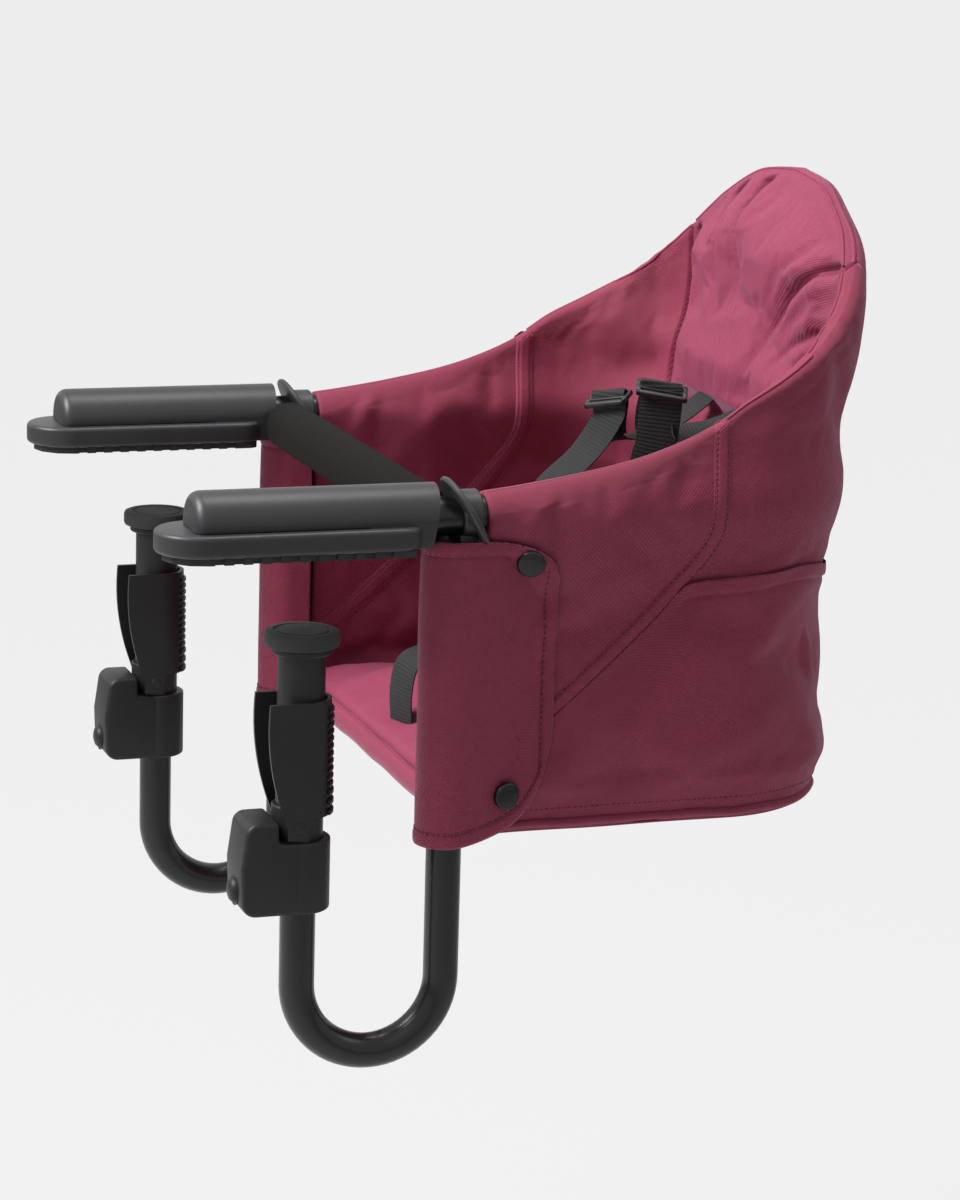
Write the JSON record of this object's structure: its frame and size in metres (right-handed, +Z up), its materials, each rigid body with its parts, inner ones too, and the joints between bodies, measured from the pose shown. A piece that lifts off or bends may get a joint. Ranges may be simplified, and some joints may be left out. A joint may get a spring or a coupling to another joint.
{
  "type": "hook-on table chair",
  "caption": "Clip-on high chair: padded fabric seat with a folding back, on tubular arms with grips that lie on a table and clamps on swivelling bent tubes that press up from below.",
  "frame": {"origin": "middle of the table's edge at the level of the table top, between the two arms", "axes": "+X across the seat to the seated child's left, -Y in over the table, +Z up"},
  "size_m": [0.386, 0.452, 0.487],
  "materials": {
    "tube": "glossy black paint",
    "foam": "matt closed-cell foam",
    "moulding": "satin charcoal moulding",
    "clamp": "satin near-black moulding",
    "tread": "matt black rubber",
    "steel": "bright steel",
    "cloth": "burgundy twill",
    "lining": "lighter burgundy twill",
    "webbing": "ribbed black webbing",
    "stiffener": "hidden fibre board"
  },
  "bodies": {
    "frame": {"arm_tube_left": "tube", "arm_tube_right": "tube", "rear_bow": "tube", "bow_casing": "cloth", "crossbar_tube": "tube", "crossbar_foam": "foam", "grip_dome_left": "moulding", "grip_dome_right": "moulding", "grip_ledge_left": "moulding", "grip_ledge_right": "moulding", "grip_tread_left": "tread", "grip_tread_right": "tread", "leg_bracket_left": "moulding", "leg_bracket_right": "moulding", "side_panel_left": "cloth", "side_panel_right": "cloth", "wing_left": "cloth", "wing_right": "cloth", "leg_flap_left": "cloth", "leg_flap_right": "cloth", "upper_stud_left": "moulding", "upper_stud_right": "moulding", "lower_stud_left": "moulding", "lower_stud_right": "moulding", "seat_bucket": "cloth", "back_pocket": "cloth", "bottom_panel": "cloth", "seat_board": "stiffener", "seat_cushion": "lining", "front_binding": "cloth", "shoulder_strap_left": "webbing", "shoulder_strap_right": "webbing", "waist_strap_left": "webbing", "waist_strap_right": "webbing", "crotch_strap": "webbing", "buckle_body": "moulding"},
    "backrest": {"back_cover": "cloth", "back_board": "stiffener", "back_pad": "lining", "strap_adjuster_left": "moulding", "strap_adjuster_right": "moulding"},
    "buckle_button": {"buckle_button": "moulding"},
    "lower_arm_left": {"lower_arm_tube_left": "tube", "clamp_housing_left": "clamp", "pawl_pin_left": "steel", "pawl_spring_left": "steel"},
    "clamp_post_left": {"clamp_post_left": "clamp", "clamp_foot_left": "tread"},
    "clamp_lever_left": {"clamp_lever_left": "clamp"},
    "release_button_left": {"release_button_left": "clamp"},
    "lock_pawl_left": {"lock_pawl_left": "steel"},
    "lower_arm_right": {"lower_arm_tube_right": "tube", "clamp_housing_right": "clamp", "pawl_pin_right": "steel", "pawl_spring_right": "steel"},
    "clamp_post_right": {"clamp_post_right": "clamp", "clamp_foot_right": "tread"},
    "clamp_lever_right": {"clamp_lever_right": "clamp"},
    "release_button_right": {"release_button_right": "clamp"},
    "lock_pawl_right": {"lock_pawl_right": "steel"}
  },
  "joints": [
    {"name": "back_fold", "type": "hinge", "parent": "frame", "child": "backrest", "pos_m": [0, 0.2635, 0.018], "axis": [1, 0, 0], "range_deg": [0, 80], "deforming": ["shoulder_strap_left", "shoulder_strap_right"]},
    {"name": "buckle_press", "type": "slide", "parent": "frame", "child": "buckle_button", "axis": [0, 1, 0], "range_m": [0, 0.0025], "stiffness_N_per_m": 600, "springref_m": -0.002},
    {"name": "arm_swivel_left", "type": "hinge", "parent": "frame", "child": "lower_arm_left", "pos_m": [0.168, 0.0125, -0.02], "axis": [0, 0, -1], "range_deg": [0, 80]},
    {"name": "post_slide_left", "type": "slide", "parent": "lower_arm_left", "child": "clamp_post_left", "axis": [0, 0, 1], "range_m": [-0.02, 0.018]},
    {"name": "lever_swing_left", "type": "hinge", "parent": "lower_arm_left", "child": "clamp_lever_left", "pos_m": [0.168, -0.076, -0.15], "axis": [-1, 0, 0], "range_deg": [0, 34]},
    {"name": "button_press_left", "type": "slide", "parent": "lower_arm_left", "child": "release_button_left", "axis": [0, 1, 0], "range_m": [0, 0.003], "stiffness_N_per_m": 800, "springref_m": -0.002},
    {"name": "pawl_rock_left", "type": "hinge", "parent": "lower_arm_left", "child": "lock_pawl_left", "pos_m": [0.168, -0.095, -0.176], "axis": [1, 0, 0], "range_deg": [0, 14.5], "deforming": ["pawl_spring_left"]},
    {"name": "arm_swivel_right", "type": "hinge", "parent": "frame", "child": "lower_arm_right", "pos_m": [-0.168, 0.0125, -0.02], "axis": [0, 0, 1], "range_deg": [0, 80]},
    {"name": "post_slide_right", "type": "slide", "parent": "lower_arm_right", "child": "clamp_post_right", "axis": [0, 0, 1], "range_m": [-0.02, 0.018]},
    {"name": "lever_swing_right", "type": "hinge", "parent": "lower_arm_right", "child": "clamp_lever_right", "pos_m": [-0.168, -0.076, -0.15], "axis": [-1, 0, 0], "range_deg": [0, 34]},
    {"name": "button_press_right", "type": "slide", "parent": "lower_arm_right", "child": "release_button_right", "axis": [0, 1, 0], "range_m": [0, 0.003], "stiffness_N_per_m": 800, "springref_m": -0.002},
    {"name": "pawl_rock_right", "type": "hinge", "parent": "lower_arm_right", "child": "lock_pawl_right", "pos_m": [-0.168, -0.095, -0.176], "axis": [1, 0, 0], "range_deg": [0, 14.5], "deforming": ["pawl_spring_right"]}
  ],
  "couplings": [
    {"joint": "pawl_rock_left", "follows": "button_press_left", "rad_per_m": 83.333},
    {"joint": "pawl_rock_right", "follows": "button_press_right", "rad_per_m": 83.333}
  ]
}
